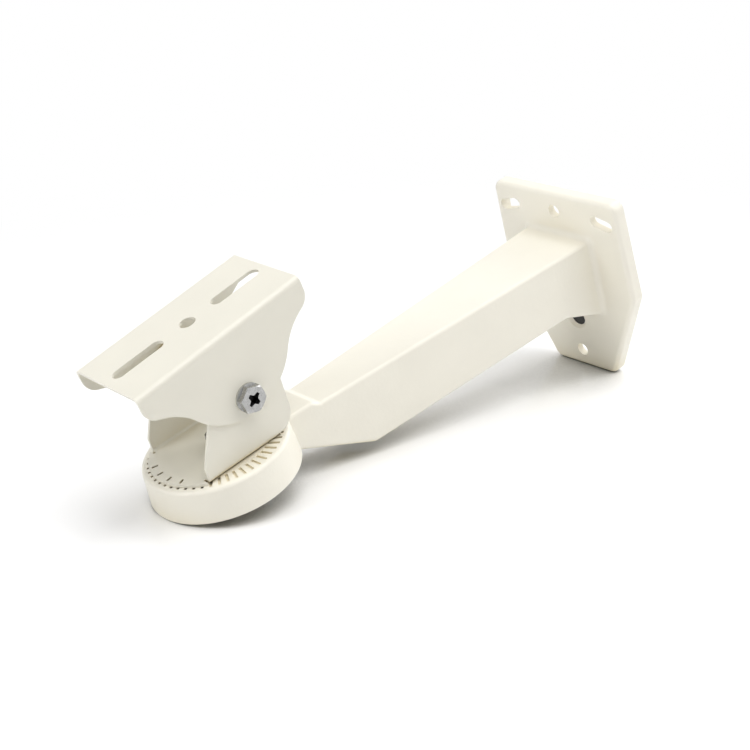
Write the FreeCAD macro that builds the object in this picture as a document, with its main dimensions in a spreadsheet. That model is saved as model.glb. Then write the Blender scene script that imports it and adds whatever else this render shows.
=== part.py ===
import FreeCAD, Part
import math
import os
import re
import Sketcher

# A camera wall bracket: a cast wall plate, arm and round head in one piece, a folded steel yoke that
# pans on the head, and a folded steel saddle that tilts on the yoke's ears.
# Frame: X leaves the wall, Z is up and parallel to the pan axis, and the origin is the middle of the
# plate's back. Lengths are in millimetres and angles in degrees.

SIZES = {
    # Wall plate
    "plate_depth": 7.4,
    "plate_height": 110.0,
    "plate_top_width": 87.6,
    "plate_waist_width": 92.2,
    "plate_foot_width": 43.2,
    "plate_waist_level": -1.9,
    "plate_wall": 4.0,
    "plate_rim": 3.0,
    "plate_corner_round": 5.0,
    "plate_edge_round": 2.6,
    "wall_hole_bore": 7.5,
    "wall_hole_spacing": 88.6,
    "wall_slot_width": 6.5,
    "wall_slot_inner_side": 29.1,
    "wall_slot_inner_level": 43.6,
    "wall_slot_outer_side": 37.3,
    "wall_slot_outer_level": 41.8,
    "cable_hole_bore": 10.0,
    "cable_hole_chamfer": 1.7,
    "cable_hole_gap": 1.9,
    # Arm
    "pan_reach": 242.5,
    "arm_root_top": 30.9,
    "arm_depth": 35.5,
    "arm_root_width": 46.0,
    "arm_crest_width": 26.0,
    "arm_wall": 3.5,
    "crest_setback": 53.3,
    "crest_drop": 5.2,
    "shoulder_setback": 49.2,
    "shoulder_drop": 2.5,
    "keel_setback": 76.3,
    "keel_depth": 37.0,
    "toe_drop": 5.4,
    "heel_reach": 33.0,
    "heel_flare": 10.2,
    "core_end_setback": 84.0,
    "arm_edge_round": 2.0,
    "arm_kink_round": 2.6,
    "arm_root_round": 3.5,
    # Round head
    "deck_level": 42.3,
    "head_depth": 16.6,
    "head_top_radius": 35.8,
    "head_foot_radius": 37.1,
    "head_rim_round": 2.0,
    "head_wall": 3.5,
    "deck_wall": 4.5,
    "boss_radius": 11.0,
    "boss_drop": 1.5,
    "scale_outer_radius": 33.0,
    "scale_mark_length": 6.5,
    "scale_mark_width": 1.4,
    "scale_mark_depth": 1.0,
    "scale_marks": 50,
    # Folded sheet
    "sheet": 1.5,
    "bend_radius": 3.0,
    # Yoke
    "yoke_width": 48.6,
    "yoke_lobe_radius": 31.9,
    "yoke_base_front": 19.8,
    "yoke_front_rise": 8.0,
    "yoke_crown_radius": 19.2,
    "yoke_heel_radius": 10.0,
    "relief_width": 1.2,
    "relief_depth": 3.6,
    "pivot_setback": 11.4,
    "pivot_height": 28.4,
    "pointer_outer_radius": 30.6,
    "pointer_length": 3.0,
    "pointer_width": 1.2,
    "pointer_step": 15.0,
    "pointers": 4,
    # Saddle
    "rest_tilt": 5.4,
    "saddle_height": 34.1,
    "saddle_front": 47.2,
    "saddle_rear": 46.8,
    "belly_radius": 31.8,
    "belly_rise": 23.4,
    "belly_lead": -0.2,
    "sweep_radius": 30.0,
    "tip_radius": 8.0,
    "tip_rise": 26.9,
    "camera_hole_lead": -0.2,
    "camera_hole_bore": 8.0,
    "camera_slot_width": 7.0,
    "camera_slot_length": 28.0,
    "camera_slot_offset": 28.5,
    # Tilt bolts
    "tilt_shank": 8.0,
    "tilt_across": 12.0,
    "tilt_head_height": 3.5,
    "tilt_nut_height": 6.5,
    "tilt_thread_end": 2.0,
    "tilt_washer_outer": 13.8,
    "tilt_washer_thickness": 1.0,
    "tilt_inner_washer_outer": 16.0,
    "tilt_inner_washer_thickness": 1.6,
    "tilt_spring_washer_outer": 13.6,
    "tilt_spring_washer_thickness": 2.0,
    "cross_turn": 34.0,
    "cross_span": 7.0,
    "cross_blade": 1.5,
    "cross_core": 2.8,
    "cross_depth": 3.0,
    # Pan stud
    "pan_shank": 6.0,
    "pan_across": 10.0,
    "pan_rise": 6.0,
    "pan_nut_height": 5.0,
    "pan_thread_end": 1.2,
    "pan_washer_outer": 18.0,
    "pan_washer_thickness": 1.2,
    "pan_spring_washer_outer": 10.6,
    "pan_spring_washer_thickness": 1.4,
    "pan_lower_washer_outer": 12.0,
    "pan_lower_washer_thickness": 1.2,
    # Threads, hexagons and spring washers of both
    "hex_turn": 41.0,
    "hex_bevel": 30.0,
    "shank_end_chamfer": 0.8,
    "spring_slit": 1.2,
    # Grommet
    "grommet_lip": 1.0,
    "grommet_lip_radius": 6.6,
    "grommet_web": 1.2,
    "grommet_web_inset": 1.6,
    "grommet_skirt": 1.2,
    # Overlap of joined or cut shapes, and clearances
    "overlap": 0.1,
    "pivot_clearance": 0.08,
    "face_clearance": 0.05,
    "ear_clearance": 0.1,
    "bolt_clearance": 0.25,
    "thread_clearance": 0.05,
}

HEX_SIDES = 6
CROSS_ARMS = 4

# An edge's direction along an axis, across it, and too slanted to count as either
ALONG_AXIS = 0.99
ACROSS_AXIS = 0.01
SLANTED = 0.5

# The slack, in millimetres, within which two places count as the same
SLACK = 0.01

# The least change of area, in square millimetres, that counts as a change of shape
LEAST_CHANGE = 1.0

doc = FreeCAD.newDocument("CameraWallBracket")
sheet = doc.addObject("Spreadsheet::Sheet", "Sizes")
for row, (word, number) in enumerate(SIZES.items(), start=1):
    sheet.set(f"A{row}", word)
    sheet.set(f"B{row}", str(number))
    sheet.setAlias(f"B{row}", word)
doc.recompute()


def formula(text):
    """The text with each size's name pointed at its cell."""
    words = sorted(set(re.findall(r"[a-z_]+", text)) & set(SIZES))
    for word in words:
        text = re.sub(rf"(?<![a-z_.]){word}(?![a-z_])", f"Sizes.{word}", text)
    return text


def value(text):
    """The number that a formula gives now."""
    result = sheet.evalExpression(formula(text))
    return float(getattr(result, "Value", result))


def bind(item, field, text):
    """Ties a field of an object to a formula of the sheet's sizes."""
    item.setExpression(field, formula(text))


def new_body(label, reach="0", side="0", level="0"):
    """An empty body, named as the sub-part, with its origin at a place of the bracket's frame."""
    body = doc.addObject("PartDesign::Body", label)
    body.Label = label
    body.Placement.Base = FreeCAD.Vector(value(reach), value(side), value(level))
    bind(body, "Placement.Base.x", reach)
    bind(body, "Placement.Base.y", side)
    bind(body, "Placement.Base.z", level)
    return body


def new_sketch(body, plane, name, lift="0"):
    """A sketch on one of the body's own planes, lifted along the plane's normal."""
    sketch = body.newObject("Sketcher::SketchObject", name)
    support = next(item for item in body.Origin.OriginFeatures if item.Role == plane)
    sketch.AttachmentSupport = [(support, "")]
    sketch.MapMode = "FlatFace"
    bind(sketch, "AttachmentOffset.Base.z", lift)
    return sketch


def rule(sketch, kind, *places, text=None):
    """A constraint, whose number, if it has one, follows a formula."""
    if text is None:
        sketch.addConstraint(Sketcher.Constraint(kind, *places))
        return
    number = sketch.addConstraint(Sketcher.Constraint(kind, *places, value(text)))
    sketch.setExpression(f"Constraints[{number}]", formula(text))


def place(sketch, item, vertex, across, up):
    """Puts a point of the sketch at two formulas from the sketch's origin."""
    rule(sketch, "DistanceX", -1, 1, item, vertex, text=across)
    rule(sketch, "DistanceY", -1, 1, item, vertex, text=up)


def outline(sketch, corners):
    """A closed outline through corners, each given by two formulas. A third one is the radius of the
    arc to the next corner, with a minus sign where the arc runs clockwise."""
    points = [FreeCAD.Vector(value(corner[0]), value(corner[1]), 0) for corner in corners]
    edges = []
    for corner, begin, finish in zip(corners, points, points[1:] + points[:1]):
        if len(corner) == 2:
            shape = Part.LineSegment(begin, finish)
        else:
            shape = arc_between(begin, finish, value(corner[2]))
        edges.append((sketch.addGeometry(shape, False), shape_ends(corner)))
    for (edge, (_, last)), (following, (first, _)) in zip(edges, edges[1:] + edges[:1]):
        rule(sketch, "Coincident", edge, last, following, first)
    for (edge, (first, _)), corner in zip(edges, corners):
        place(sketch, edge, first, corner[0], corner[1])
        if len(corner) == 3:
            rule(sketch, "Radius", edge, text=corner[2].lstrip("-"))


def shape_ends(corner):
    """Which end of an edge is its first and which its last: a clockwise arc is stored backwards."""
    backwards = len(corner) == 3 and corner[2].startswith("-")
    return (2, 1) if backwards else (1, 2)


def arc_between(begin, finish, radius):
    """The arc shorter than half a turn from one point to another, clockwise if the radius is negative."""
    chord = finish - begin
    middle = (begin + finish) / 2
    rise = math.sqrt(max(radius * radius - chord.Length ** 2 / 4, 0.0))
    side = FreeCAD.Vector(-chord.y, chord.x, 0).normalize() * math.copysign(rise, radius)
    centre = middle + side
    ring = Part.Circle(centre, FreeCAD.Vector(0, 0, 1), abs(radius))
    first, last = (begin, finish) if radius > 0 else (finish, begin)
    start_turn = math.atan2(first.y - centre.y, first.x - centre.x)
    end_turn = math.atan2(last.y - centre.y, last.x - centre.x)
    if end_turn < start_turn:
        end_turn += 2 * math.pi
    return Part.ArcOfCircle(ring, start_turn, end_turn)


def turned(across, up, angle):
    """A corner turned about the sketch's origin by an angle."""
    new_across = f"({across}) * cos({angle}) - ({up}) * sin({angle})"
    new_up = f"({across}) * sin({angle}) + ({up}) * cos({angle})"
    return (new_across, new_up)


def circle(sketch, across, up, radius):
    """A circle by its centre and radius."""
    centre = FreeCAD.Vector(value(across), value(up), 0)
    ring = sketch.addGeometry(Part.Circle(centre, FreeCAD.Vector(0, 0, 1), value(radius)), False)
    place(sketch, ring, 3, across, up)
    rule(sketch, "Radius", ring, text=radius)


def slot(sketch, first, second, width):
    """A round-ended slot between two centres."""
    start = FreeCAD.Vector(value(first[0]), value(first[1]), 0)
    end = FreeCAD.Vector(value(second[0]), value(second[1]), 0)
    radius = value(width) / 2
    lean = math.atan2(end.y - start.y, end.x - start.x)
    normal = FreeCAD.Vector(0, 0, 1)
    aside = FreeCAD.Vector(-math.sin(lean), math.cos(lean), 0) * radius
    quarter = math.pi / 2
    cap_start = Part.ArcOfCircle(Part.Circle(start, normal, radius), lean + quarter, lean + 3 * quarter)
    cap_end = Part.ArcOfCircle(Part.Circle(end, normal, radius), lean - quarter, lean + quarter)
    shapes = [
        cap_start,
        Part.LineSegment(start - aside, end - aside),
        cap_end,
        Part.LineSegment(end + aside, start + aside),
    ]
    edges = [sketch.addGeometry(shape, False) for shape in shapes]
    for edge, following in zip(edges, edges[1:] + edges[:1]):
        rule(sketch, "Tangent", edge, 2, following, 1)
    place(sketch, edges[0], 3, *first)
    place(sketch, edges[2], 3, *second)
    rule(sketch, "Radius", edges[0], text=f"({width}) / 2")


def pad(body, sketch, length, both_ways=False):
    """Adds the sketch's area, drawn out by a length."""
    feature = body.newObject("PartDesign::Pad", sketch.Name + "_pad")
    feature.Profile = sketch
    bind(feature, "Length", length)
    feature.Midplane = both_ways
    sketch.Visibility = False
    doc.recompute()
    return feature


def check_change(before, feature):
    """Stops if a feature has left its body's faces and area as they were."""
    after = feature.Shape
    if len(after.Faces) == len(before.Faces) and abs(after.Area - before.Area) < LEAST_CHANGE:
        raise RuntimeError(f"{feature.Name} changes nothing")


def cut(body, sketch, depth=None, both_ways=False, reverse=False):
    """Cuts the sketch's area away, through everything if no depth is given."""
    before = body.Shape
    feature = body.newObject("PartDesign::Pocket", sketch.Name + "_cut")
    feature.Profile = sketch
    if depth is None:
        feature.Type = "ThroughAll"
    else:
        bind(feature, "Length", depth)
    feature.Midplane = both_ways
    feature.Reversed = reverse
    doc.recompute()
    check_change(before, feature)
    return feature


def spin(body, sketch, kind="Revolution", axis="V_Axis"):
    """Turns the sketch's area about one of its axes, to add it or to cut it away."""
    feature = body.newObject("PartDesign::" + kind, sketch.Name + "_turned")
    feature.Profile = sketch
    feature.ReferenceAxis = (sketch, [axis])
    doc.recompute()
    return feature


def edges_where(feature, test):
    """The names of the feature's edges whose middle and direction pass a test."""
    names = []
    for number, edge in enumerate(feature.Shape.Edges, start=1):
        if edge.Degenerated:
            continue
        middle = edge.valueAt((edge.FirstParameter + edge.LastParameter) / 2)
        along = edge.tangentAt((edge.FirstParameter + edge.LastParameter) / 2)
        if test(middle, along, edge):
            names.append(f"Edge{number}")
    return names


def ease_edges(body, name, size, test, kind="Fillet"):
    """Rounds or bevels the edges that pass a test."""
    base = body.Tip
    names = edges_where(base, test)
    if not names:
        raise RuntimeError(f"{name} finds no edge")
    feature = body.newObject("PartDesign::" + kind, name)
    feature.Base = (base, names)
    bind(feature, "Radius" if kind == "Fillet" else "Size", size)
    doc.recompute()
    return feature


# Cast arm: plate, arm and head

def top_line(reach):
    """The level of the arm's straight top at a reach."""
    crest = "(pan_reach - crest_setback - plate_depth)"
    return f"(arm_root_top + (deck_level - crest_drop - arm_root_top) * ({reach} - plate_depth) / {crest})"


def cable_level():
    """The level of the cable hole, which lies just under the arm's foot on the plate."""
    foot = top_line("plate_depth") + " - arm_depth - heel_flare"
    return f"({foot} - cable_hole_gap - cable_hole_chamfer - cable_hole_bore / 2)"


def plate_outline(sketch, inset="0"):
    """The plate's six-sided outline, drawn in by an inset."""
    top = f"plate_height / 2 - {inset}"
    foot = f"-plate_height / 2 + {inset}"
    half_top = f"plate_top_width / 2 - {inset}"
    half_waist = f"plate_waist_width / 2 - {inset}"
    half_foot = f"plate_foot_width / 2 - {inset} / 2"
    outline(sketch, [
        (f"-({half_foot})", foot),
        (half_foot, foot),
        (half_waist, "plate_waist_level"),
        (half_top, top),
        (f"-({half_top})", top),
        (f"-({half_waist})", "plate_waist_level"),
    ])


def near(number, text, slack=SLACK):
    return abs(number - value(text)) < slack


def build_arm():
    body = new_body("arm_casting")

    plate = new_sketch(body, "YZ_Plane", "plate")
    plate_outline(plate)
    pad(body, plate, "plate_depth")
    ease_edges(
        body, "plate_corners", "plate_corner_round",
        lambda middle, along, edge: abs(along.x) > ALONG_AXIS,
    )
    ease_edges(
        body, "plate_front_edge", "plate_edge_round",
        lambda middle, along, edge: near(middle.x, "plate_depth") and abs(along.x) < ACROSS_AXIS,
    )

    side = new_sketch(body, "XZ_Plane", "arm_side")
    crest = "pan_reach - crest_setback"
    shoulder = "pan_reach - shoulder_setback"
    keel = "pan_reach - keel_setback"
    rim = "pan_reach - head_foot_radius + head_wall / 2"
    toe = "pan_reach - head_foot_radius + head_wall - overlap"
    outline(side, [
        ("plate_depth / 2", top_line("plate_depth")),
        (crest, "deck_level - crest_drop"),
        (shoulder, "deck_level - shoulder_drop"),
        (toe, "deck_level - shoulder_drop"),
        (toe, "deck_level - head_depth"),
        (rim, "deck_level - head_depth"),
        (rim, "deck_level - head_depth - toe_drop"),
        (keel, top_line(f"({keel})") + " - keel_depth"),
        ("heel_reach", top_line("heel_reach") + " - arm_depth"),
        ("plate_depth", top_line("plate_depth") + " - arm_depth - heel_flare"),
        ("plate_depth / 2", top_line("plate_depth") + " - arm_depth - heel_flare"),
    ])
    pad(body, side, "arm_root_width", both_ways=True)

    taper = new_sketch(body, "XY_Plane", "arm_taper")
    slope = "(arm_root_width - arm_crest_width) / 2 / (pan_reach - crest_setback - plate_depth)"
    for hand in ("", "-"):
        outline(taper, [
            ("plate_depth", f"{hand}arm_root_width / 2"),
            ("pan_reach", f"{hand}(arm_root_width / 2 - (pan_reach - plate_depth) * {slope})"),
            ("pan_reach", f"{hand}arm_root_width"),
            ("plate_depth", f"{hand}arm_root_width"),
        ])
    cut(body, taper, both_ways=True)

    def past_plate(middle):
        return middle.x > value("plate_depth + plate_edge_round")

    arm_end = value(rim + " - overlap")
    ease_edges(
        body, "arm_kinks", "arm_kink_round",
        lambda middle, along, edge: past_plate(middle) and middle.x < arm_end and abs(along.y) > ALONG_AXIS,
    )
    ease_edges(
        body, "arm_long_edges", "arm_edge_round",
        lambda middle, along, edge: past_plate(middle) and middle.x < arm_end
        and abs(middle.y) > value("arm_crest_width / 4") and abs(along.y) < SLANTED,
    )
    ease_edges(
        body, "arm_root", "arm_root_round",
        lambda middle, along, edge: near(middle.x, "plate_depth") and abs(along.x) < ACROSS_AXIS
        and abs(middle.y) < value("arm_root_width / 2 + overlap")
        and abs(middle.z) < value("arm_root_top + overlap"),
    )

    head = new_sketch(body, "XZ_Plane", "head")
    bind(head, "AttachmentOffset.Base.x", "pan_reach")
    deck = "deck_level"
    foot = "deck_level - head_depth"
    outline(head, [
        ("0", deck),
        ("head_top_radius", deck),
        ("head_foot_radius", foot),
        ("0", foot),
    ])
    spin(body, head)
    ease_edges(
        body, "head_rim", "head_rim_round",
        lambda middle, along, edge: near(middle.z, deck) and edge.Length > value("head_top_radius"),
    )

    cup = new_sketch(body, "XZ_Plane", "head_cup")
    bind(cup, "AttachmentOffset.Base.x", "pan_reach")
    outline(cup, [
        ("pan_shank / 2 + pivot_clearance", deck + " + overlap"),
        ("pan_shank / 2 + pivot_clearance", f"{deck} - deck_wall - boss_drop"),
        ("boss_radius", f"{deck} - deck_wall - boss_drop"),
        ("boss_radius", f"{deck} - deck_wall"),
        ("head_top_radius - head_wall", f"{deck} - deck_wall"),
        ("head_foot_radius - head_wall", foot),
        ("head_foot_radius - head_wall", foot + " - overlap"),
        ("0", foot + " - overlap"),
        ("0", deck + " + overlap"),
    ])
    spin(body, cup, "Groove")

    recess = new_sketch(body, "YZ_Plane", "plate_recess")
    plate_outline(recess, inset="plate_rim")
    cut(body, recess, "plate_depth - plate_wall", reverse=True)

    core_end = "pan_reach - core_end_setback"
    half_core = f"(arm_root_width / 2 - ({core_end} - plate_depth) * {slope} - arm_wall)"
    root = new_sketch(body, "YZ_Plane", "core_root", lift="plate_depth - plate_wall - overlap")
    far = new_sketch(body, "YZ_Plane", "core_end", lift=core_end)
    for section, half, top in (
        (root, "(arm_root_width / 2 - arm_wall)", top_line("plate_depth") + " - arm_wall"),
        (far, half_core, top_line(f"({core_end})") + " - arm_wall"),
    ):
        low = f"{top} - arm_depth + 2 * arm_wall"
        outline(section, [(f"-{half}", low), (half, low), (half, top), (f"-{half}", top)])
    before = body.Shape
    core = body.newObject("PartDesign::SubtractiveLoft", "arm_core")
    core.Profile = root
    core.Sections = [far]
    core.Ruled = True
    doc.recompute()
    check_change(before, core)

    holes = new_sketch(body, "YZ_Plane", "wall_holes")
    circle(holes, "0", "wall_hole_spacing / 2", "wall_hole_bore / 2")
    circle(holes, "0", "-wall_hole_spacing / 2", "wall_hole_bore / 2")
    circle(holes, "0", cable_level(), "cable_hole_bore / 2")
    for hand in ("", "-"):
        slot(
            holes,
            (hand + "wall_slot_inner_side", "wall_slot_inner_level"),
            (hand + "wall_slot_outer_side", "wall_slot_outer_level"),
            "wall_slot_width",
        )
    cut(body, holes, "plate_depth + overlap", reverse=True)
    ease_edges(
        body, "cable_hole_rim", "cable_hole_chamfer",
        lambda middle, along, edge: near(middle.x, "plate_depth") and edge.isClosed()
        and near(edge.BoundBox.ZLength, "cable_hole_bore"),
        kind="Chamfer",
    )

    mark = new_sketch(body, "XY_Plane", "scale_mark", lift="deck_level")
    inner = "scale_outer_radius - scale_mark_length"
    outline(mark, [
        (f"pan_reach + {inner}", "-scale_mark_width / 2"),
        ("pan_reach + scale_outer_radius", "-scale_mark_width / 2"),
        ("pan_reach + scale_outer_radius", "scale_mark_width / 2"),
        (f"pan_reach + {inner}", "scale_mark_width / 2"),
    ])
    groove = cut(body, mark, "scale_mark_depth")
    ring = body.newObject("PartDesign::PolarPattern", "scale")
    ring.Originals = [groove]
    ring.Axis = (head, ["V_Axis"])
    ring.Angle = 360
    bind(ring, "Occurrences", "scale_marks")
    body.Tip = ring
    doc.recompute()
    return body


# Folded yoke, whose floor turns on the head's deck

def pivot_level():
    """The level of the tilt axis."""
    return "deck_level + face_clearance + pivot_height"


def build_yoke():
    body = new_body("pan_yoke", reach="pan_reach", level="deck_level + face_clearance")
    top = "pivot_height + yoke_crown_radius"
    half = "yoke_width / 2"
    section = new_sketch(body, "YZ_Plane", "yoke_section")
    outline(section, [
        (f"-{half}", "0"),
        (half, "0"),
        (half, top),
        (f"{half} - sheet", top),
        (f"{half} - sheet", "sheet"),
        (f"-({half} - sheet)", "sheet"),
        (f"-({half} - sheet)", top),
        (f"-{half}", top),
    ])
    pad(body, section, "2 * (pivot_setback + yoke_crown_radius + sheet)", both_ways=True)
    ease_edges(
        body, "yoke_outer_bends", "bend_radius",
        lambda middle, along, edge: abs(along.x) > ALONG_AXIS and abs(middle.z) < SLACK,
    )
    ease_edges(
        body, "yoke_inner_bends", "bend_radius - sheet",
        lambda middle, along, edge: abs(along.x) > ALONG_AXIS and near(middle.z, "sheet"),
    )
    ear = new_sketch(body, "XZ_Plane", "yoke_ear")
    ear_outline(ear)
    cut(body, ear, both_ways=True)

    floor = new_sketch(body, "XY_Plane", "yoke_floor")
    floor_outline(floor)
    pad(body, floor, "sheet")

    bores = new_sketch(body, "XY_Plane", "pan_bore")
    circle(bores, "0", "0", "pan_shank / 2 + thread_clearance")
    cut(body, bores, "sheet", reverse=True)
    pivots = new_sketch(body, "XZ_Plane", "tilt_bores")
    circle(pivots, "-pivot_setback", "pivot_height", "tilt_shank / 2 + pivot_clearance")
    cut(body, pivots, both_ways=True)

    pointer = new_sketch(body, "XY_Plane", "pointer")
    inner = "pointer_outer_radius - pointer_length"
    turn = "(pointers - 1) / 2 * pointer_step"
    half_width = "pointer_width / 2"
    outline(pointer, [
        turned(inner, f"-{half_width}", f"-{turn}"),
        turned("pointer_outer_radius", f"-{half_width}", f"-{turn}"),
        turned("pointer_outer_radius", half_width, f"-{turn}"),
        turned(inner, half_width, f"-{turn}"),
    ])
    groove = cut(body, pointer, "sheet", reverse=True)
    fan = body.newObject("PartDesign::PolarPattern", "pointers_fan")
    fan.Originals = [groove]
    fan.Axis = (pointer, ["N_Axis"])
    bind(fan, "Angle", "(pointers - 1) * pointer_step")
    bind(fan, "Occurrences", "pointers")
    body.Tip = fan
    doc.recompute()
    return body


def ear_outline(sketch):
    """What is cut away around the yoke's ears: a crown round the pivot, a leaning front and a round heel."""
    back = "pivot_setback + yoke_crown_radius"
    base_rear = f"-({back} - yoke_heel_radius)"
    gap = "(yoke_base_front + pivot_setback)"
    drop = "(pivot_height - yoke_front_rise)"
    turn = f"(acos(yoke_crown_radius / hypot({gap}; {drop})) - atan2({drop}; {gap}))"
    outline(sketch, [
        ("yoke_base_front", "-sheet"),
        ("yoke_base_front", "yoke_front_rise"),
        (f"yoke_crown_radius * cos{turn} - pivot_setback", f"pivot_height + yoke_crown_radius * sin{turn}",
         "yoke_crown_radius"),
        (f"-({back})", "pivot_height"),
        (f"-({back})", "sheet + yoke_heel_radius", "yoke_heel_radius"),
        (base_rear, "sheet"),
        (base_rear, "-sheet"),
        (f"-({back}) - 2 * sheet", "-sheet"),
        (f"-({back}) - 2 * sheet", "pivot_height + yoke_crown_radius + sheet"),
        (f"{back} + 2 * sheet", "pivot_height + yoke_crown_radius + sheet"),
        (f"{back} + 2 * sheet", "-sheet"),
    ])


def floor_outline(sketch):
    """The yoke's floor: two round lobes, with relief notches beside the bends."""
    waist = "yoke_width / 2 - relief_depth"
    front = "yoke_base_front + relief_width"
    rear = "pivot_setback + yoke_crown_radius - yoke_heel_radius + relief_width"
    front_side = f"sqrt(yoke_lobe_radius * yoke_lobe_radius - ({front}) * ({front}))"
    rear_side = f"sqrt(yoke_lobe_radius * yoke_lobe_radius - ({rear}) * ({rear}))"
    outline(sketch, [
        (front, f"-({waist})"),
        (front, f"-{front_side}", "yoke_lobe_radius"),
        (front, front_side),
        (front, waist),
        (f"-({rear})", waist),
        (f"-({rear})", rear_side, "yoke_lobe_radius"),
        (f"-({rear})", f"-{rear_side}"),
        (f"-({rear})", f"-({waist})"),
    ])


# Folded saddle, whose ears hang outside the yoke's

def sweep_ends(hand, reach):
    """Where an ear's hollow sweep meets its belly and its tip, towards one end of the saddle."""
    across = f"({reach} - tip_radius)"
    rise = "(tip_rise - belly_rise)"
    span = f"hypot({across}; {rise})"
    inner = "(belly_radius + sweep_radius)"
    outer = "(tip_radius + sweep_radius)"
    bend = f"acos(({inner} * {inner} + {span} * {span} - {outer} * {outer}) / (2 * {inner} * {span}))"
    turn = f"(atan2({rise}; {across}) - {bend})"
    centre = (f"({inner} * cos{turn})", f"(belly_rise + {inner} * sin{turn})")
    share = f"tip_radius / {outer}"
    belly_end = (f"belly_lead {hand} belly_radius * cos{turn}", f"belly_rise + belly_radius * sin{turn}")
    tip_end = (
        f"belly_lead {hand} ({across} + ({centre[0]} - {across}) * {share})",
        f"tip_rise + ({centre[1]} - tip_rise) * {share}",
    )
    return belly_end, tip_end


def build_saddle():
    body = new_body("tilt_channel", reach="pan_reach - pivot_setback", level=pivot_level())
    body.Placement.Rotation = FreeCAD.Rotation(FreeCAD.Vector(0, 1, 0), value("rest_tilt"))
    bind(body, "Placement.Rotation.Angle", "rest_tilt")

    half = "yoke_width / 2 + ear_clearance"
    low = "belly_rise - belly_radius - sheet"
    section = new_sketch(body, "YZ_Plane", "saddle_section", lift="-saddle_rear")
    outline(section, [
        (f"-({half} + sheet)", low),
        (f"-({half})", low),
        (f"-({half})", "saddle_height - sheet"),
        (half, "saddle_height - sheet"),
        (half, low),
        (f"{half} + sheet", low),
        (f"{half} + sheet", "saddle_height"),
        (f"-({half} + sheet)", "saddle_height"),
    ])
    pad(body, section, "saddle_front + saddle_rear")
    ease_edges(
        body, "saddle_outer_bends", "bend_radius",
        lambda middle, along, edge: abs(along.x) > ALONG_AXIS and near(middle.z, "saddle_height"),
    )
    ease_edges(
        body, "saddle_inner_bends", "bend_radius - sheet",
        lambda middle, along, edge: abs(along.x) > ALONG_AXIS and near(middle.z, "saddle_height - sheet"),
    )

    front_belly, front_tip = sweep_ends("+", "(saddle_front - belly_lead)")
    rear_belly, rear_tip = sweep_ends("-", "(saddle_rear + belly_lead)")
    ears = new_sketch(body, "XZ_Plane", "saddle_ears")
    outline(ears, [
        ("saddle_front", "tip_rise"),
        ("saddle_front + sheet", "tip_rise"),
        ("saddle_front + sheet", low + " - sheet"),
        ("-saddle_rear - sheet", low + " - sheet"),
        ("-saddle_rear - sheet", "tip_rise"),
        ("-saddle_rear", "tip_rise", "tip_radius"),
        (*rear_tip, "-sweep_radius"),
        (*rear_belly, "belly_radius"),
        (*front_belly, "-sweep_radius"),
        (*front_tip, "tip_radius"),
    ])
    cut(body, ears, both_ways=True)

    middle = "camera_hole_lead"
    straight = "(camera_slot_length - camera_slot_width) / 2"
    top = new_sketch(body, "XY_Plane", "camera_fixings", lift="saddle_height")
    circle(top, middle, "0", "camera_hole_bore / 2")
    for hand in ("+", "-"):
        slot(
            top,
            (f"{middle} {hand} camera_slot_offset - {straight}", "0"),
            (f"{middle} {hand} camera_slot_offset + {straight}", "0"),
            "camera_slot_width",
        )
    cut(body, top, "2 * sheet")

    pivots = new_sketch(body, "XZ_Plane", "saddle_bores")
    circle(pivots, "0", "0", "tilt_shank / 2 + pivot_clearance")
    cut(body, pivots, both_ways=True)
    return body


# Cable grommet

def build_grommet():
    body = new_body("cable_grommet", level=cable_level())
    outer = "cable_hole_bore / 2 - face_clearance"
    inner = f"{outer} - grommet_skirt"
    wall_back = "plate_depth - plate_wall - face_clearance"
    mouth = "plate_depth - cable_hole_chamfer"
    web = "plate_depth - grommet_web_inset"
    profile = new_sketch(body, "XZ_Plane", "grommet")
    outline(profile, [
        (f"{web} - grommet_web", "0"),
        (f"{web} - grommet_web", inner),
        (f"{wall_back} - grommet_lip", inner),
        (f"{wall_back} - grommet_lip", "grommet_lip_radius"),
        (wall_back, "grommet_lip_radius"),
        (wall_back, outer),
        (mouth, outer),
        (mouth, inner),
        (web, inner),
        (web, "0"),
    ])
    spin(body, profile, axis="H_Axis")
    return body


# Fasteners, each made along its own Z and then set on its axis

class Stack:
    """Fasteners of one thread, set one on another along an axis."""

    def __init__(self, kind, prefix, reach, level, turn):
        self.kind = kind
        self.prefix = prefix
        self.reach = reach
        self.level = level
        self.turn = FreeCAD.Rotation(FreeCAD.Vector(1, 0, 0), turn)

    def size(self, word):
        """The name of one of this thread's sizes."""
        return f"{self.kind}_{word}"

    def body(self, label, distance):
        """A body at a distance along the stack's axis, with its Z outwards along that axis."""
        outwards = self.turn.multVec(FreeCAD.Vector(0, 0, 1))
        body = new_body(
            f"{self.prefix}_{label}",
            reach=self.reach,
            side=f"{round(outwards.y)} * ({distance})",
            level=f"{self.level} + {round(outwards.z)} * ({distance})",
        )
        body.Placement.Rotation = self.turn
        return body

    def sketch(self, body, name, plane="XY_Plane", lift="0"):
        return new_sketch(body, plane, f"{body.Label}_{name}", lift=lift)


def hexagon(sketch, across):
    """A hexagon by its width across the flats."""
    outline(sketch, [
        turned(f"{across} / sqrt(3)", "0", f"hex_turn + {360 / HEX_SIDES * side}")
        for side in range(HEX_SIDES)
    ])


def build_shank(stack, seat, length, *free_ends):
    """A bolt's shank from its seat inwards, chamfered at its free ends."""
    body = stack.body("bolt", seat)
    shank = stack.sketch(body, "shank", lift=f"-({length})")
    circle(shank, "0", "0", stack.size("shank") + " / 2")
    pad(body, shank, length)
    ease_edges(
        body, body.Label + "_ends", "shank_end_chamfer",
        lambda middle, along, edge: any(near(middle.z, end) for end in free_ends),
        kind="Chamfer",
    )
    return body


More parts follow.
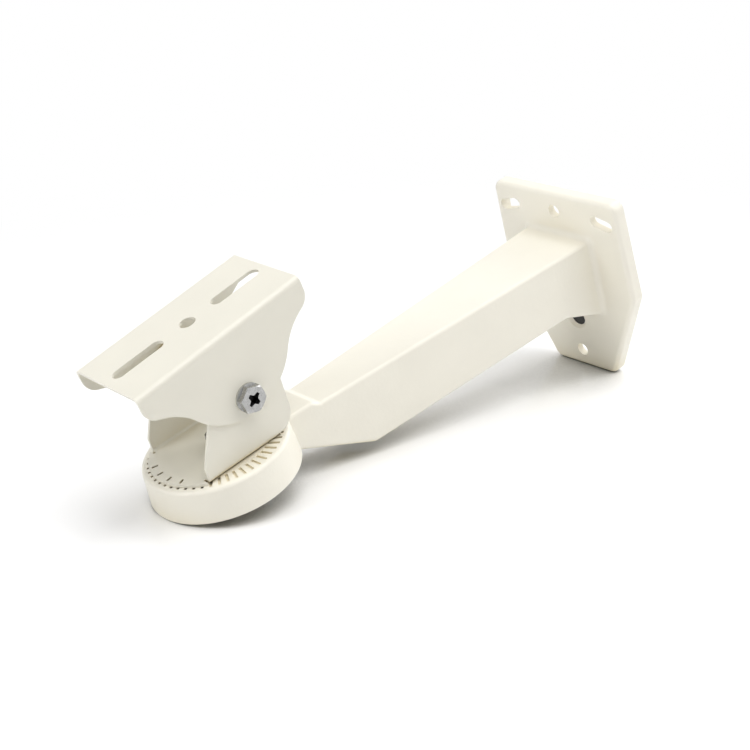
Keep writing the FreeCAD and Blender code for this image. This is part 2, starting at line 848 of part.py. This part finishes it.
def build_head(stack, body):
    """A bolt's hexagon head, with its outer corners turned down and a cross recess."""
    across = stack.size("across")
    height = stack.size("head_height")
    flats = stack.sketch(body, "flats")
    hexagon(flats, across)
    pad(body, flats, height)

    bevel = stack.sketch(body, "bevel", plane="XZ_Plane")
    outline(bevel, [
        (f"{across} / 2", height),
        (across, height),
        (across, f"{height} - {across} / 2 * tan(hex_bevel)"),
    ])
    spin(body, bevel, "Groove")

    cross = stack.sketch(body, "cross", lift=height)
    reach = "cross_span / 2"
    side = "cross_blade / 2"
    core = "cross_core / 2"
    arm = [(reach, f"-{side}"), (reach, side), (core, core)]
    outline(cross, [
        turned(across_arm, along_arm, f"cross_turn + {360 / CROSS_ARMS * number}")
        for number in range(CROSS_ARMS)
        for across_arm, along_arm in arm
    ])
    cut(body, cross, "cross_depth")


def build_nut(stack, seat):
    """A hexagon nut that reaches inwards from its seat."""
    height = stack.size("nut_height")
    body = stack.body("nut", f"{seat} - {height}")
    flats = stack.sketch(body, "flats")
    hexagon(flats, stack.size("across"))
    circle(flats, "0", "0", stack.size("shank") + " / 2 + thread_clearance")
    pad(body, flats, height)
    return body


def build_washer(stack, label, seat):
    """A ring that reaches inwards from its seat."""
    thickness = stack.size(label + "_thickness")
    body = stack.body(label, f"{seat} - {thickness}")
    ring = stack.sketch(body, "ring")
    circle(ring, "0", "0", stack.size(label + "_outer") + " / 2")
    circle(ring, "0", "0", stack.size("shank") + " / 2 + bolt_clearance")
    pad(body, ring, thickness)
    return body


def build_spring_washer(stack, seat):
    """A split ring, with its slit leaning as the wire's ends do."""
    body = build_washer(stack, "spring_washer", seat)
    thickness = stack.size("spring_washer_thickness")
    slit = stack.sketch(body, "slit", plane="XZ_Plane")
    lean = f"{thickness} / 2"
    half = "spring_slit / 2"
    outline(slit, [
        (f"-{half} - {lean}", "0"),
        (f"{half} - {lean}", "0"),
        (f"{half} + {lean}", thickness),
        (f"-{half} + {lean}", thickness),
    ])
    cut(body, slit, stack.size("spring_washer_outer"), reverse=True)
    return body


def build_tilt_fasteners(prefix, turn):
    """A bolt through both ears on one side, with its nut inside the yoke."""
    stack = Stack("tilt", prefix, "pan_reach - pivot_setback", pivot_level(), turn)
    head_seat = "yoke_width / 2 + ear_clearance + sheet + face_clearance + tilt_washer_thickness"
    inner_seat = "yoke_width / 2 - sheet - face_clearance"
    spring_seat = f"{inner_seat} - tilt_inner_washer_thickness"
    nut_seat = f"{spring_seat} - tilt_spring_washer_thickness"
    length = f"{head_seat} - ({nut_seat}) + tilt_nut_height + tilt_thread_end"
    bolt = build_shank(stack, head_seat, length, f"-({length})")
    build_head(stack, bolt)
    build_washer(stack, "washer", head_seat)
    build_washer(stack, "inner_washer", inner_seat)
    build_spring_washer(stack, spring_seat)
    build_nut(stack, nut_seat)


def build_pan_fasteners():
    """A stud held in the yoke's floor, with its nut and washers under the head's boss."""
    stack = Stack("pan", "pan", "pan_reach", "deck_level", 0)
    top = "face_clearance + sheet + pan_rise"
    washer_seat = "-deck_wall - boss_drop - face_clearance"
    spring_seat = f"{washer_seat} - pan_washer_thickness"
    lower_seat = f"{spring_seat} - pan_spring_washer_thickness"
    nut_seat = f"{lower_seat} - pan_lower_washer_thickness"
    length = f"{top} - ({nut_seat}) + pan_nut_height + pan_thread_end"
    build_shank(stack, top, length, "0", f"-({length})")
    build_washer(stack, "washer", washer_seat)
    build_spring_washer(stack, spring_seat)
    build_washer(stack, "lower_washer", lower_seat)
    build_nut(stack, nut_seat)


build_arm()
build_yoke()
build_saddle()
build_grommet()
build_tilt_fasteners("left_tilt", -90)
build_tilt_fasteners("right_tilt", 90)
build_pan_fasteners()

doc.recompute()
for item in doc.Objects:
    if "Invalid" in item.State or "Error" in item.State:
        raise RuntimeError(f"{item.Name} did not build: {item.State}")

os.makedirs("parts", exist_ok=True)
for item in doc.Objects:
    if item.TypeId != "PartDesign::Body":
        continue
    if item.Shape.isNull() or not item.Shape.isValid():
        raise RuntimeError(f"{item.Label} is not a valid solid")
    item.Shape.exportStep(f"parts/{item.Label}.step")
    print(item.Label, len(item.Shape.Solids), round(item.Shape.Volume), item.Shape.BoundBox)
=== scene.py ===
import math

import bmesh
import bpy
from mathutils import Matrix, Vector


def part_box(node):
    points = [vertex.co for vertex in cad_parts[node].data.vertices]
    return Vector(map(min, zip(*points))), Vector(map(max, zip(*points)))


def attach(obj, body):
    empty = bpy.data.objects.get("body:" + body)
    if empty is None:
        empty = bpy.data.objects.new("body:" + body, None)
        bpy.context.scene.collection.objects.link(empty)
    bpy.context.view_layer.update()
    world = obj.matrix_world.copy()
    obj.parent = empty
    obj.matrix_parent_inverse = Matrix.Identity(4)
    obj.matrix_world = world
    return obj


# A camera wall bracket, powder coated in cream, resting on a white studio floor by its wall plate's
# foot and its head. Lengths are in metres, in the part's own frame: X leaves the wall, Z is up.

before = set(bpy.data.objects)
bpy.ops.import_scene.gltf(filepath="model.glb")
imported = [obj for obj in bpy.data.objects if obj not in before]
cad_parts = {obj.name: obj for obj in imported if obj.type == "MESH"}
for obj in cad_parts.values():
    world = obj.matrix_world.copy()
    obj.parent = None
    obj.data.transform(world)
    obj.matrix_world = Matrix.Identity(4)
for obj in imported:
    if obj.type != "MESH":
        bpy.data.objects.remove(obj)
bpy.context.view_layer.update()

# Colours
CAST_CREAM = (0.863, 0.829, 0.727, 1.0)
SHEET_CREAM = (0.755, 0.728, 0.634, 1.0)
ZINC = (0.43, 0.43, 0.425, 1.0)
BRIGHT_ZINC = (0.6, 0.6, 0.59, 1.0)
# Painted shade for the deep cross recess in a bolt's head
RECESS_SHADE = (0.012, 0.012, 0.013, 1.0)
# Painted shade for narrow joints and gaps between parts
JOINT_SHADE = (0.13, 0.1, 0.055, 1.0)
BLACK_RUBBER = (0.012, 0.012, 0.013, 1.0)
WORN_RUBBER = (0.03, 0.03, 0.031, 1.0)
FLOOR_WHITE = (0.96, 0.96, 0.96, 1.0)
# Painted shadow where the bracket stands close over the floor
FLOOR_SHADE = (0.2, 0.205, 0.2, 1.0)
PURE_WHITE = (1.0, 1.0, 1.0, 1.0)

# The shares of its red, green and blue that a finish keeps in painted shade deep in a recess, and in its
# darker patches
CAST_RECESS_SHADE = (0.98, 0.93, 0.8)
SHEET_RECESS_SHADE = (0.93, 0.84, 0.62)
CLOUD_SHARES = (0.965, 0.965, 0.965)
SPANGLE_SHARES = (0.82, 0.82, 0.82)

# The part of a noise's 0 to 1 that is spread over a range
NOISE_LOW = 0.3
NOISE_HIGH = 0.7

# Scales of the noises, in cells per metre, and their octaves
CLOUD_SCALE = 38.0
GLOSS_SCALE = 170.0
PEEL_SCALE = 520.0
GRAIN_SCALE = 2600.0
COAT_DETAIL = 3.0
PEEL_DETAIL = 2.0
SPANGLE_SCALE = 420.0
SHEEN_SCALE = 900.0
HAIRLINE_SCALE = 1500.0
ZINC_DETAIL = 4.0
WEAR_SCALE = 300.0
RUBBER_GLOSS_SCALE = 700.0
RUBBER_GRAIN_SCALE = 2400.0
RUBBER_DETAIL = 3.0

# Depths of the fine relief, with the coat's grain as a share of its orange peel
CAST_PEEL = 0.00006
SHEET_PEEL = 0.00003
GRAIN_SHARE = 0.18
HAIRLINE_DEPTH = 0.000012
RUBBER_GRAIN_DEPTH = 0.00002

# Roughness of each finish, and how far it falls and rises in patches
CAST_GLOSS = 0.42
SHEET_GLOSS = 0.38
COAT_SPREAD = (-0.05, 0.06)
ZINC_GLOSS = 0.28
BRIGHT_ZINC_GLOSS = 0.34
BOLT_GLOSS = 0.24
ZINC_SPREAD = (-0.08, 0.1)
RUBBER_GLOSS = (0.45, 0.62)
FLOOR_GLOSS = 0.16

# How far a spot looks for shelter, and the openness at which its painted shade is full and at which it ends
SHELTER_SAMPLES = 8
COAT_RECESS_SHADE_REACH = (0.03, 0.2, 0.6)
CAST_JOINT_SHADE_REACH = (0.003, 0.04, 0.2)
SHEET_JOINT_SHADE_REACH = (0.003, 0.04, 0.4)
ZINC_JOINT_SHADE_REACH = (0.002, 0.05, 0.4)
FLOOR_SHADOW_REACH = (0.06, 0.1, 0.5)

# The tilt bolts' shank and thread, and the cross recess in their heads: its reach from the axis, and
# the depths from the head's face between which it carries painted shade
BOLT_SHANK = 0.008
BOLT_PITCH = 0.00125
CROSS_REACH = 0.0037
CROSS_RIM = 0.0003
CROSS_FLOOR = 0.0034

# The pan stud's shank, its thread's pitch and its end's chamfer, and the thickness of the yoke's sheet
STUD_SHANK = 0.006
STUD_PITCH = 0.001
STUD_CHAMFER = 0.0008
YOKE_SHEET = 0.0015

# A thread's ridge: its rise and foot, half its width as a share of the pitch, and its steps in a turn
THREAD_RISE = 0.00025
THREAD_SINK = 0.0001
THREAD_HALF_WIDTH = 0.45
THREAD_STEPS = 36
SHANK_SLACK = 0.0001

# Where the casting's plate ends and its head begins along X, and the rounds that settle what it rests on
PLATE_END = 0.05
HEAD_START = 0.2
RESTING_ROUNDS = 4

# The floor's half width, its gap below the casting, and where it fades to pure white from its middle
FLOOR_REACH = 6.0
FLOOR_GAP = 0.0002
FADE_START = 0.3
FADE_END = 0.55
SURROUND_GLOW = 0.24

# Every lamp's target, its distance from it and its width, then each one's tilt up from the floor and
# turn round from the head's side in degrees, and its power
LAMP_TARGET = Vector((0.15, 0.0, 0.02))
LAMP_REACH = 1.6
LAMP_SIZE = 0.9
LAMPS = {
    "overhead": (90.0, 0.0, 7.8),
    "high_right": (62.0, 110.0, 7.6),
    "high_front": (55.0, 60.0, 3.8),
    "high_back": (28.0, 150.0, 6.5),
    "low_back": (37.0, 190.0, 6.7),
    "low_front": (27.0, 343.0, 9.3),
}

CAMERA_PLACE = (0.4911, 0.5306, 0.3942)
CAMERA_RIGHT = (-0.7243, 0.6432, -0.2482)
CAMERA_FORWARD = (-0.4693, -0.7237, -0.5059)
CAMERA_LENS = 70.49
CAMERA_SENSOR = 36.0
CAMERA_NEAR = 0.01
CAMERA_FAR = 50.0


# Materials

class Nodes:
    """A material's node tree, built a node at a time."""

    def __init__(self, name):
        self.material = bpy.data.materials.new(name)
        self.material.use_nodes = True
        self.tree = self.material.node_tree
        self.tree.nodes.clear()
        self.shader = self.add("ShaderNodeBsdfPrincipled")
        self.output = self.add("ShaderNodeOutputMaterial")
        self.link(self.shader.outputs["BSDF"], self.output.inputs["Surface"])

    def add(self, kind, **settings):
        node = self.tree.nodes.new(kind)
        for key, setting in settings.items():
            setattr(node, key, setting)
        return node

    def link(self, source, target):
        self.tree.links.new(source, target)

    def set(self, **sockets):
        """Sets the shader's own sockets, with underscores for the spaces in their names."""
        for key, setting in sockets.items():
            self.shader.inputs[key.replace("_", " ")].default_value = setting

    def dress(self, colour, roughness):
        """Links the shader's colour and roughness to their sources."""
        self.link(colour, self.shader.inputs["Base Color"])
        self.link(roughness, self.shader.inputs["Roughness"])

    def noise(self, scale, detail):
        """Noise over the object's own coordinates, in cells per metre."""
        where = self.add("ShaderNodeTexCoord")
        noise = self.add("ShaderNodeTexNoise")
        noise.inputs["Scale"].default_value = scale
        noise.inputs["Detail"].default_value = detail
        self.link(where.outputs["Object"], noise.inputs["Vector"])
        return noise.outputs["Fac"]

    def ramp(self, source, start, end, low, high, **settings):
        """Spreads a source's start to end over low to high."""
        ramp = self.add("ShaderNodeMapRange", **settings)
        ramp.inputs["From Min"].default_value = start
        ramp.inputs["From Max"].default_value = end
        ramp.inputs["To Min"].default_value = low
        ramp.inputs["To Max"].default_value = high
        self.link(source, ramp.inputs["Value"])
        return ramp.outputs["Result"]

    def patches(self, scale, detail, low=0.0, high=1.0):
        """Soft patches of noise between low and high."""
        return self.ramp(self.noise(scale, detail), NOISE_LOW, NOISE_HIGH, low, high)

    def tint(self, source, first, second):
        """A colour between two by a source's 0 to 1. The first is a colour or a source."""
        mix = self.add("ShaderNodeMix", data_type="RGBA")
        if isinstance(first, tuple):
            mix.inputs["A"].default_value = first
        else:
            self.link(first, mix.inputs["A"])
        mix.inputs["B"].default_value = second
        self.link(source, mix.inputs["Factor"])
        return mix.outputs["Result"]

    def math(self, operation, first, second=None):
        """One sum over a source and a number or another source."""
        node = self.add("ShaderNodeMath", operation=operation)
        for number, term in enumerate((first, second)):
            if isinstance(term, float):
                node.inputs[number].default_value = term
            elif term is not None:
                self.link(term, node.inputs[number])
        return node.outputs["Value"]

    def shade_mask(self, reach, closed, clear):
        """Where painted shade goes: 1 deep in a joint narrower than a reach, 0 on open faces."""
        shelter = self.add("ShaderNodeAmbientOcclusion", samples=SHELTER_SAMPLES)
        shelter.inputs["Distance"].default_value = reach
        return self.ramp(shelter.outputs["AO"], closed, clear, 1.0, 0.0)

    def from_axis(self, axis, through):
        """The distance from a line along an axis, and the place along it."""
        where = self.add("ShaderNodeTexCoord")
        offset = self.add("ShaderNodeVectorMath", operation="SUBTRACT")
        self.link(where.outputs["Object"], offset.inputs[0])
        offset.inputs[1].default_value = through
        flat = self.add("ShaderNodeVectorMath", operation="MULTIPLY")
        self.link(offset.outputs["Vector"], flat.inputs[0])
        flat.inputs[1].default_value = [0.0 if number == axis else 1.0 for number in range(3)]
        radius = self.add("ShaderNodeVectorMath", operation="LENGTH")
        self.link(flat.outputs["Vector"], radius.inputs[0])
        parts = self.add("ShaderNodeSeparateXYZ")
        self.link(offset.outputs["Vector"], parts.inputs["Vector"])
        return radius.outputs["Value"], parts.outputs[axis]

    def bump(self, *layers):
        """Bumps laid one on another, each a source and its depth in metres."""
        normal = None
        for source, depth in layers:
            bump = self.add("ShaderNodeBump")
            bump.inputs["Strength"].default_value = 1.0
            bump.inputs["Distance"].default_value = depth
            self.link(source, bump.inputs["Height"])
            if normal is not None:
                self.link(normal, bump.inputs["Normal"])
            normal = bump.outputs["Normal"]
        self.link(normal, self.shader.inputs["Normal"])


def shaded(colour, shares):
    """A colour with a share of each of its red, green and blue."""
    return tuple(channel * share for channel, share in zip(colour, shares)) + (1.0,)


def powder_coat(name, colour, painted_recess_shade, orange_peel, gloss, joint_shade_reach):
    """Cream powder coat with faint orange peel, a fine grain, a cloudy gloss, and painted shade in recesses
    and joints.
    """
    nodes = Nodes(name)
    coat = nodes.tint(nodes.patches(CLOUD_SCALE, COAT_DETAIL), colour, shaded(colour, CLOUD_SHARES))
    # Painted shade: the cream turns darker and warmer deep in recesses
    coat = nodes.tint(nodes.shade_mask(*COAT_RECESS_SHADE_REACH), coat, shaded(colour, painted_recess_shade))
    # Painted shade: dark brown deep in narrow joints and gaps
    coat = nodes.tint(nodes.shade_mask(*joint_shade_reach), coat, JOINT_SHADE)
    fall, rise = COAT_SPREAD
    nodes.dress(coat, nodes.patches(GLOSS_SCALE, COAT_DETAIL, gloss + fall, gloss + rise))
    nodes.bump(
        (nodes.noise(PEEL_SCALE, PEEL_DETAIL), orange_peel),
        (nodes.noise(GRAIN_SCALE, PEEL_DETAIL), orange_peel * GRAIN_SHARE),
    )
    nodes.set(Specular_IOR_Level=0.5, Coat_Weight=0.2, Coat_Roughness=0.28)
    return nodes.material


def spangle(nodes, colour):
    """The paler and duller patches of zinc plate."""
    return nodes.tint(nodes.patches(SPANGLE_SCALE, ZINC_DETAIL), colour, shaded(colour, SPANGLE_SHARES))


def zinc_sheen(nodes, plate, gloss, *layers):
    """Makes a metal of a plate's colour, with an uneven sheen and with hairline marks over other relief."""
    fall, rise = ZINC_SPREAD
    nodes.dress(plate, nodes.patches(SHEEN_SCALE, ZINC_DETAIL, gloss + fall, gloss + rise))
    nodes.bump(*layers, (nodes.noise(HAIRLINE_SCALE, ZINC_DETAIL), HAIRLINE_DEPTH))
    nodes.set(Metallic=1.0)
    return nodes.material


def zinc_plate(name, colour, gloss):
    """Zinc plated steel: a grey sheen with fine spangle, and painted shade in its joints."""
    nodes = Nodes(name)
    plate = spangle(nodes, colour)
    # Painted shade where washers, heads and nuts meet other parts
    plate = nodes.tint(nodes.shade_mask(*ZINC_JOINT_SHADE_REACH), plate, JOINT_SHADE)
    return zinc_sheen(nodes, plate, gloss)


def zinc_bolt(name, node_name, axis, shank, pitch, hollow):
    """Zinc plate with a screw thread round a bolt's shank, and painted shade in the recess of its head if
    hollow.
    """
    nodes = Nodes(name)
    low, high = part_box(node_name)
    middle = (low + high) / 2
    outer = max(abs(low[axis]), abs(high[axis]))
    middle[axis] = 0.0
    radius, along = nodes.from_axis(axis, middle)
    plate = spangle(nodes, ZINC)
    if hollow:
        depth = nodes.math("ABSOLUTE", along)
        deep = nodes.math("LESS_THAN", depth, outer - CROSS_RIM)
        near_head = nodes.math("GREATER_THAN", depth, outer - CROSS_FLOOR)
        inside = nodes.math("LESS_THAN", radius, hollow)
        # Painted shade: the cross recess in the head is painted near black
        painted_recess_shade = nodes.math("MULTIPLY", nodes.math("MULTIPLY", deep, near_head), inside)
        plate = nodes.tint(painted_recess_shade, plate, RECESS_SHADE)
    ridges = nodes.math("SINE", nodes.math("MULTIPLY", along, 2 * math.pi / pitch))
    on_shank = nodes.math("MULTIPLY", ridges, nodes.math("LESS_THAN", radius, shank / 2 + SHANK_SLACK))
    return zinc_sheen(nodes, plate, BOLT_GLOSS, (on_shank, THREAD_RISE))


def moulded_rubber(name):
    """Black rubber with a fine moulded grain."""
    nodes = Nodes(name)
    nodes.dress(
        nodes.tint(nodes.patches(WEAR_SCALE, RUBBER_DETAIL), BLACK_RUBBER, WORN_RUBBER),
        nodes.patches(RUBBER_GLOSS_SCALE, RUBBER_DETAIL, *RUBBER_GLOSS),
    )
    nodes.bump((nodes.noise(RUBBER_GRAIN_SCALE, RUBBER_DETAIL), RUBBER_GRAIN_DEPTH))
    return nodes.material


def seen_rays(tree):
    """1 for the rays that show a surface, straight or in a reflection, and 0 for those that light others."""
    path = tree.nodes.new("ShaderNodeLightPath")
    seen = path.outputs["Is Camera Ray"]
    for kind in ("Is Glossy Ray", "Is Transmission Ray"):
        either = tree.nodes.new("ShaderNodeMath")
        either.operation = "MAXIMUM"
        tree.links.new(seen, either.inputs[0])
        tree.links.new(path.outputs[kind], either.inputs[1])
        seen = either.outputs["Value"]
    return seen


def floor_white(name, centre):
    """A white floor that keeps shadows near a centre, with painted shadow where the bracket stands close over
    it, and fades to pure white beyond them.
    """
    nodes = Nodes(name)
    nodes.set(Roughness=FLOOR_GLOSS, Specular_IOR_Level=0.5)
    # Painted shadow: the floor turns grey where the bracket shelters it
    painted_contact_shadow = nodes.tint(nodes.shade_mask(*FLOOR_SHADOW_REACH), FLOOR_WHITE, FLOOR_SHADE)
    nodes.link(painted_contact_shadow, nodes.shader.inputs["Base Color"])
    where = nodes.add("ShaderNodeTexCoord")
    distance = nodes.add("ShaderNodeVectorMath", operation="DISTANCE")
    distance.inputs[1].default_value = centre
    nodes.link(where.outputs["Object"], distance.inputs[0])
    fade = nodes.ramp(
        distance.outputs["Value"], FADE_START, FADE_END, 0.0, 1.0, interpolation_type="SMOOTHSTEP",
    )
    share = nodes.math("MULTIPLY", fade, seen_rays(nodes.tree))
    glow = nodes.add("ShaderNodeEmission")
    glow.inputs["Strength"].default_value = 1.0
    mix = nodes.add("ShaderNodeMixShader")
    nodes.link(share, mix.inputs["Fac"])
    nodes.link(nodes.shader.outputs["BSDF"], mix.inputs[1])
    nodes.link(glow.outputs["Emission"], mix.inputs[2])
    nodes.link(mix.outputs["Shader"], nodes.output.inputs["Surface"])
    return nodes.material


sheet_coat = powder_coat(
    "sheet_cream_coat", SHEET_CREAM, SHEET_RECESS_SHADE, SHEET_PEEL, SHEET_GLOSS, SHEET_JOINT_SHADE_REACH,
)
bright_zinc = zinc_plate("bright_zinc_plate", BRIGHT_ZINC, BRIGHT_ZINC_GLOSS)
zinc = zinc_plate("zinc_plated_steel", ZINC, ZINC_GLOSS)
stud_zinc = zinc_bolt("pan_stud_zinc", "pan_bolt", 2, STUD_SHANK, STUD_PITCH, None)
finishes = {
    "arm_casting": powder_coat(
        "cast_cream_coat", CAST_CREAM, CAST_RECESS_SHADE, CAST_PEEL, CAST_GLOSS, CAST_JOINT_SHADE_REACH,
    ),
    "pan_yoke": sheet_coat,
    "tilt_channel": sheet_coat,
    "cable_grommet": moulded_rubber("black_rubber"),
    "pan_bolt": stud_zinc,
}
for side in ("left", "right"):
    bolt = f"{side}_tilt_bolt"
    finishes[bolt] = zinc_bolt(f"{side}_bolt_zinc", bolt, 1, BOLT_SHANK, BOLT_PITCH, CROSS_REACH)
for node_name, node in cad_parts.items():
    finish = finishes.get(node_name, bright_zinc if "washer" in node_name else zinc)
    for slot in node.material_slots:
        slot.material = finish


# Thread on the part of the pan stud that stands above the yoke's floor

def helix_ring(turn, level, shank, pitch, rise):
    """The three corners of a ridge's section round an upright shank, two sunk into it and one raised."""
    corners = []
    for along, out in ((-THREAD_HALF_WIDTH, -THREAD_SINK), (0.0, rise), (THREAD_HALF_WIDTH, -THREAD_SINK)):
        radius = shank / 2 + out
        corners.append((math.cos(turn) * radius, math.sin(turn) * radius, level + along * pitch))
    return corners


def screw_thread(name, middle, first, last, shank, pitch, finish):
    """A helical ridge round an upright shank between two levels, running out over half a turn at each end."""
    turns = (last - first) / pitch
    steps = round(turns * THREAD_STEPS)
    build = bmesh.new()
    rings = []
    for step in range(steps + 1):
        share = step / steps
        run_out = min(1.0, 2 * turns * share, 2 * turns * (1 - share))
        rise = THREAD_RISE * run_out - THREAD_SINK / 2
        level = first + (last - first) * share
        ring = helix_ring(2 * math.pi * turns * share, level, shank, pitch, rise)
        rings.append([build.verts.new((middle.x + x, middle.y + y, z)) for x, y, z in ring])
    for before, after in zip(rings, rings[1:]):
        for here, there in ((0, 1), (1, 2), (2, 0)):
            build.faces.new((before[here], before[there], after[there], after[here]))
    build.faces.new(rings[0])
    build.faces.new(reversed(rings[-1]))
    bmesh.ops.recalc_face_normals(build, faces=build.faces)
    mesh = bpy.data.meshes.new(name)
    build.to_mesh(mesh)
    build.free()
    for face in mesh.polygons:
        face.use_smooth = True
    mesh.materials.append(finish)
    thread = bpy.data.objects.new(name, mesh)
    bpy.context.scene.collection.objects.link(thread)
    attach(thread, "yoke")


stud_low, stud_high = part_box("pan_bolt")
yoke_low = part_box("pan_yoke")[0]
screw_thread(
    "pan_stud_thread",
    (stud_low + stud_high) / 2,
    yoke_low.z + YOKE_SHEET + STUD_PITCH / 2,
    stud_high.z - STUD_CHAMFER - STUD_PITCH / 2,
    STUD_SHANK,
    STUD_PITCH,
    stud_zinc,
)


# Floor, light and camera

def resting_line(casting):
    """The two points of the casting's middle plane that it rests on: the plate's foot and the head's edge."""
    corners = [corner.co for corner in casting.data.vertices]
    plate = [corner for corner in corners if corner.x < PLATE_END]
    head = [corner for corner in corners if corner.x > HEAD_START]
    foot = min(plate, key=lambda corner: corner.z)
    for _ in range(RESTING_ROUNDS):
        edge = min(head, key=lambda corner: (corner.z - foot.z) / (corner.x - foot.x))
        foot = max(plate, key=lambda corner: (edge.z - corner.z) / (edge.x - corner.x))
    return Vector((foot.x, 0.0, foot.z)), Vector((edge.x, 0.0, edge.z))


def studio_floor():
    """Lays a white floor under the plate's foot and the head's edge, and gives its three directions."""
    plate, head = resting_line(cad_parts["arm_casting"])
    along = (head - plate).normalized()
    across = Vector((0.0, 1.0, 0.0))
    up = along.cross(across)
    centre = (plate + head) / 2 - up * FLOOR_GAP
    corners = [
        tuple(centre + along * FLOOR_REACH * a + across * FLOOR_REACH * b)
        for a, b in ((-1, -1), (1, -1), (1, 1), (-1, 1))
    ]
    mesh = bpy.data.meshes.new("studio_floor")
    mesh.from_pydata(corners, [], [(0, 1, 2, 3)])
    floor = bpy.data.objects.new("studio_floor", mesh)
    bpy.context.scene.collection.objects.link(floor)
    mesh.materials.append(floor_white("studio_floor_white", centre))
    return along, across, up


def white_glow(tree, strength):
    """A white background of a given strength."""
    glow = tree.nodes.new("ShaderNodeBackground")
    glow.inputs["Color"].default_value = PURE_WHITE
    glow.inputs["Strength"].default_value = strength
    return glow.outputs["Background"]


def studio_world():
    """A white surround: pure white where it is seen, softer where it lights."""
    world = bpy.data.worlds.new("studio_world")
    bpy.context.scene.world = world
    world.use_nodes = True
    tree = world.node_tree
    tree.nodes.clear()
    mix = tree.nodes.new("ShaderNodeMixShader")
    output = tree.nodes.new("ShaderNodeOutputWorld")
    tree.links.new(seen_rays(tree), mix.inputs["Fac"])
    tree.links.new(white_glow(tree, SURROUND_GLOW), mix.inputs[1])
    tree.links.new(white_glow(tree, 1.0), mix.inputs[2])
    tree.links.new(mix.outputs["Shader"], output.inputs["Surface"])


def soft_lamp(name, directions, tilt, turn, power):
    """A square lamp turned towards the bracket, placed by the floor's own directions."""
    along, across, up = directions
    side = along * math.cos(math.radians(turn)) + across * math.sin(math.radians(turn))
    away = side * math.cos(math.radians(tilt)) + up * math.sin(math.radians(tilt))
    data = bpy.data.lights.new(name, "AREA")
    data.shape = "SQUARE"
    data.size = LAMP_SIZE
    data.energy = power
    lamp = bpy.data.objects.new(name, data)
    bpy.context.scene.collection.objects.link(lamp)
    lamp.location = LAMP_TARGET + away * LAMP_REACH
    lamp.rotation_mode = "QUATERNION"
    lamp.rotation_quaternion = away.to_track_quat("Z", "Y")


def studio_camera():
    """The camera, a little above the bracket and on the head's side of it."""
    data = bpy.data.cameras.new("camera")
    data.lens = CAMERA_LENS
    data.sensor_width = CAMERA_SENSOR
    data.clip_start = CAMERA_NEAR
    data.clip_end = CAMERA_FAR
    camera = bpy.data.objects.new("camera", data)
    bpy.context.scene.collection.objects.link(camera)
    right = Vector(CAMERA_RIGHT).normalized()
    forward = Vector(CAMERA_FORWARD)
    forward = (forward - forward.dot(right) * right).normalized()
    up = right.cross(forward)
    turn = Matrix((right, up, -forward)).transposed().to_4x4()
    camera.matrix_world = Matrix.Translation(CAMERA_PLACE) @ turn
    bpy.context.scene.camera = camera


floor_directions = studio_floor()
studio_world()
for lamp_name, (tilt, turn, power) in LAMPS.items():
    soft_lamp(lamp_name, floor_directions, tilt, turn, power)
studio_camera()

bpy.context.scene.view_settings.view_transform = "Standard"
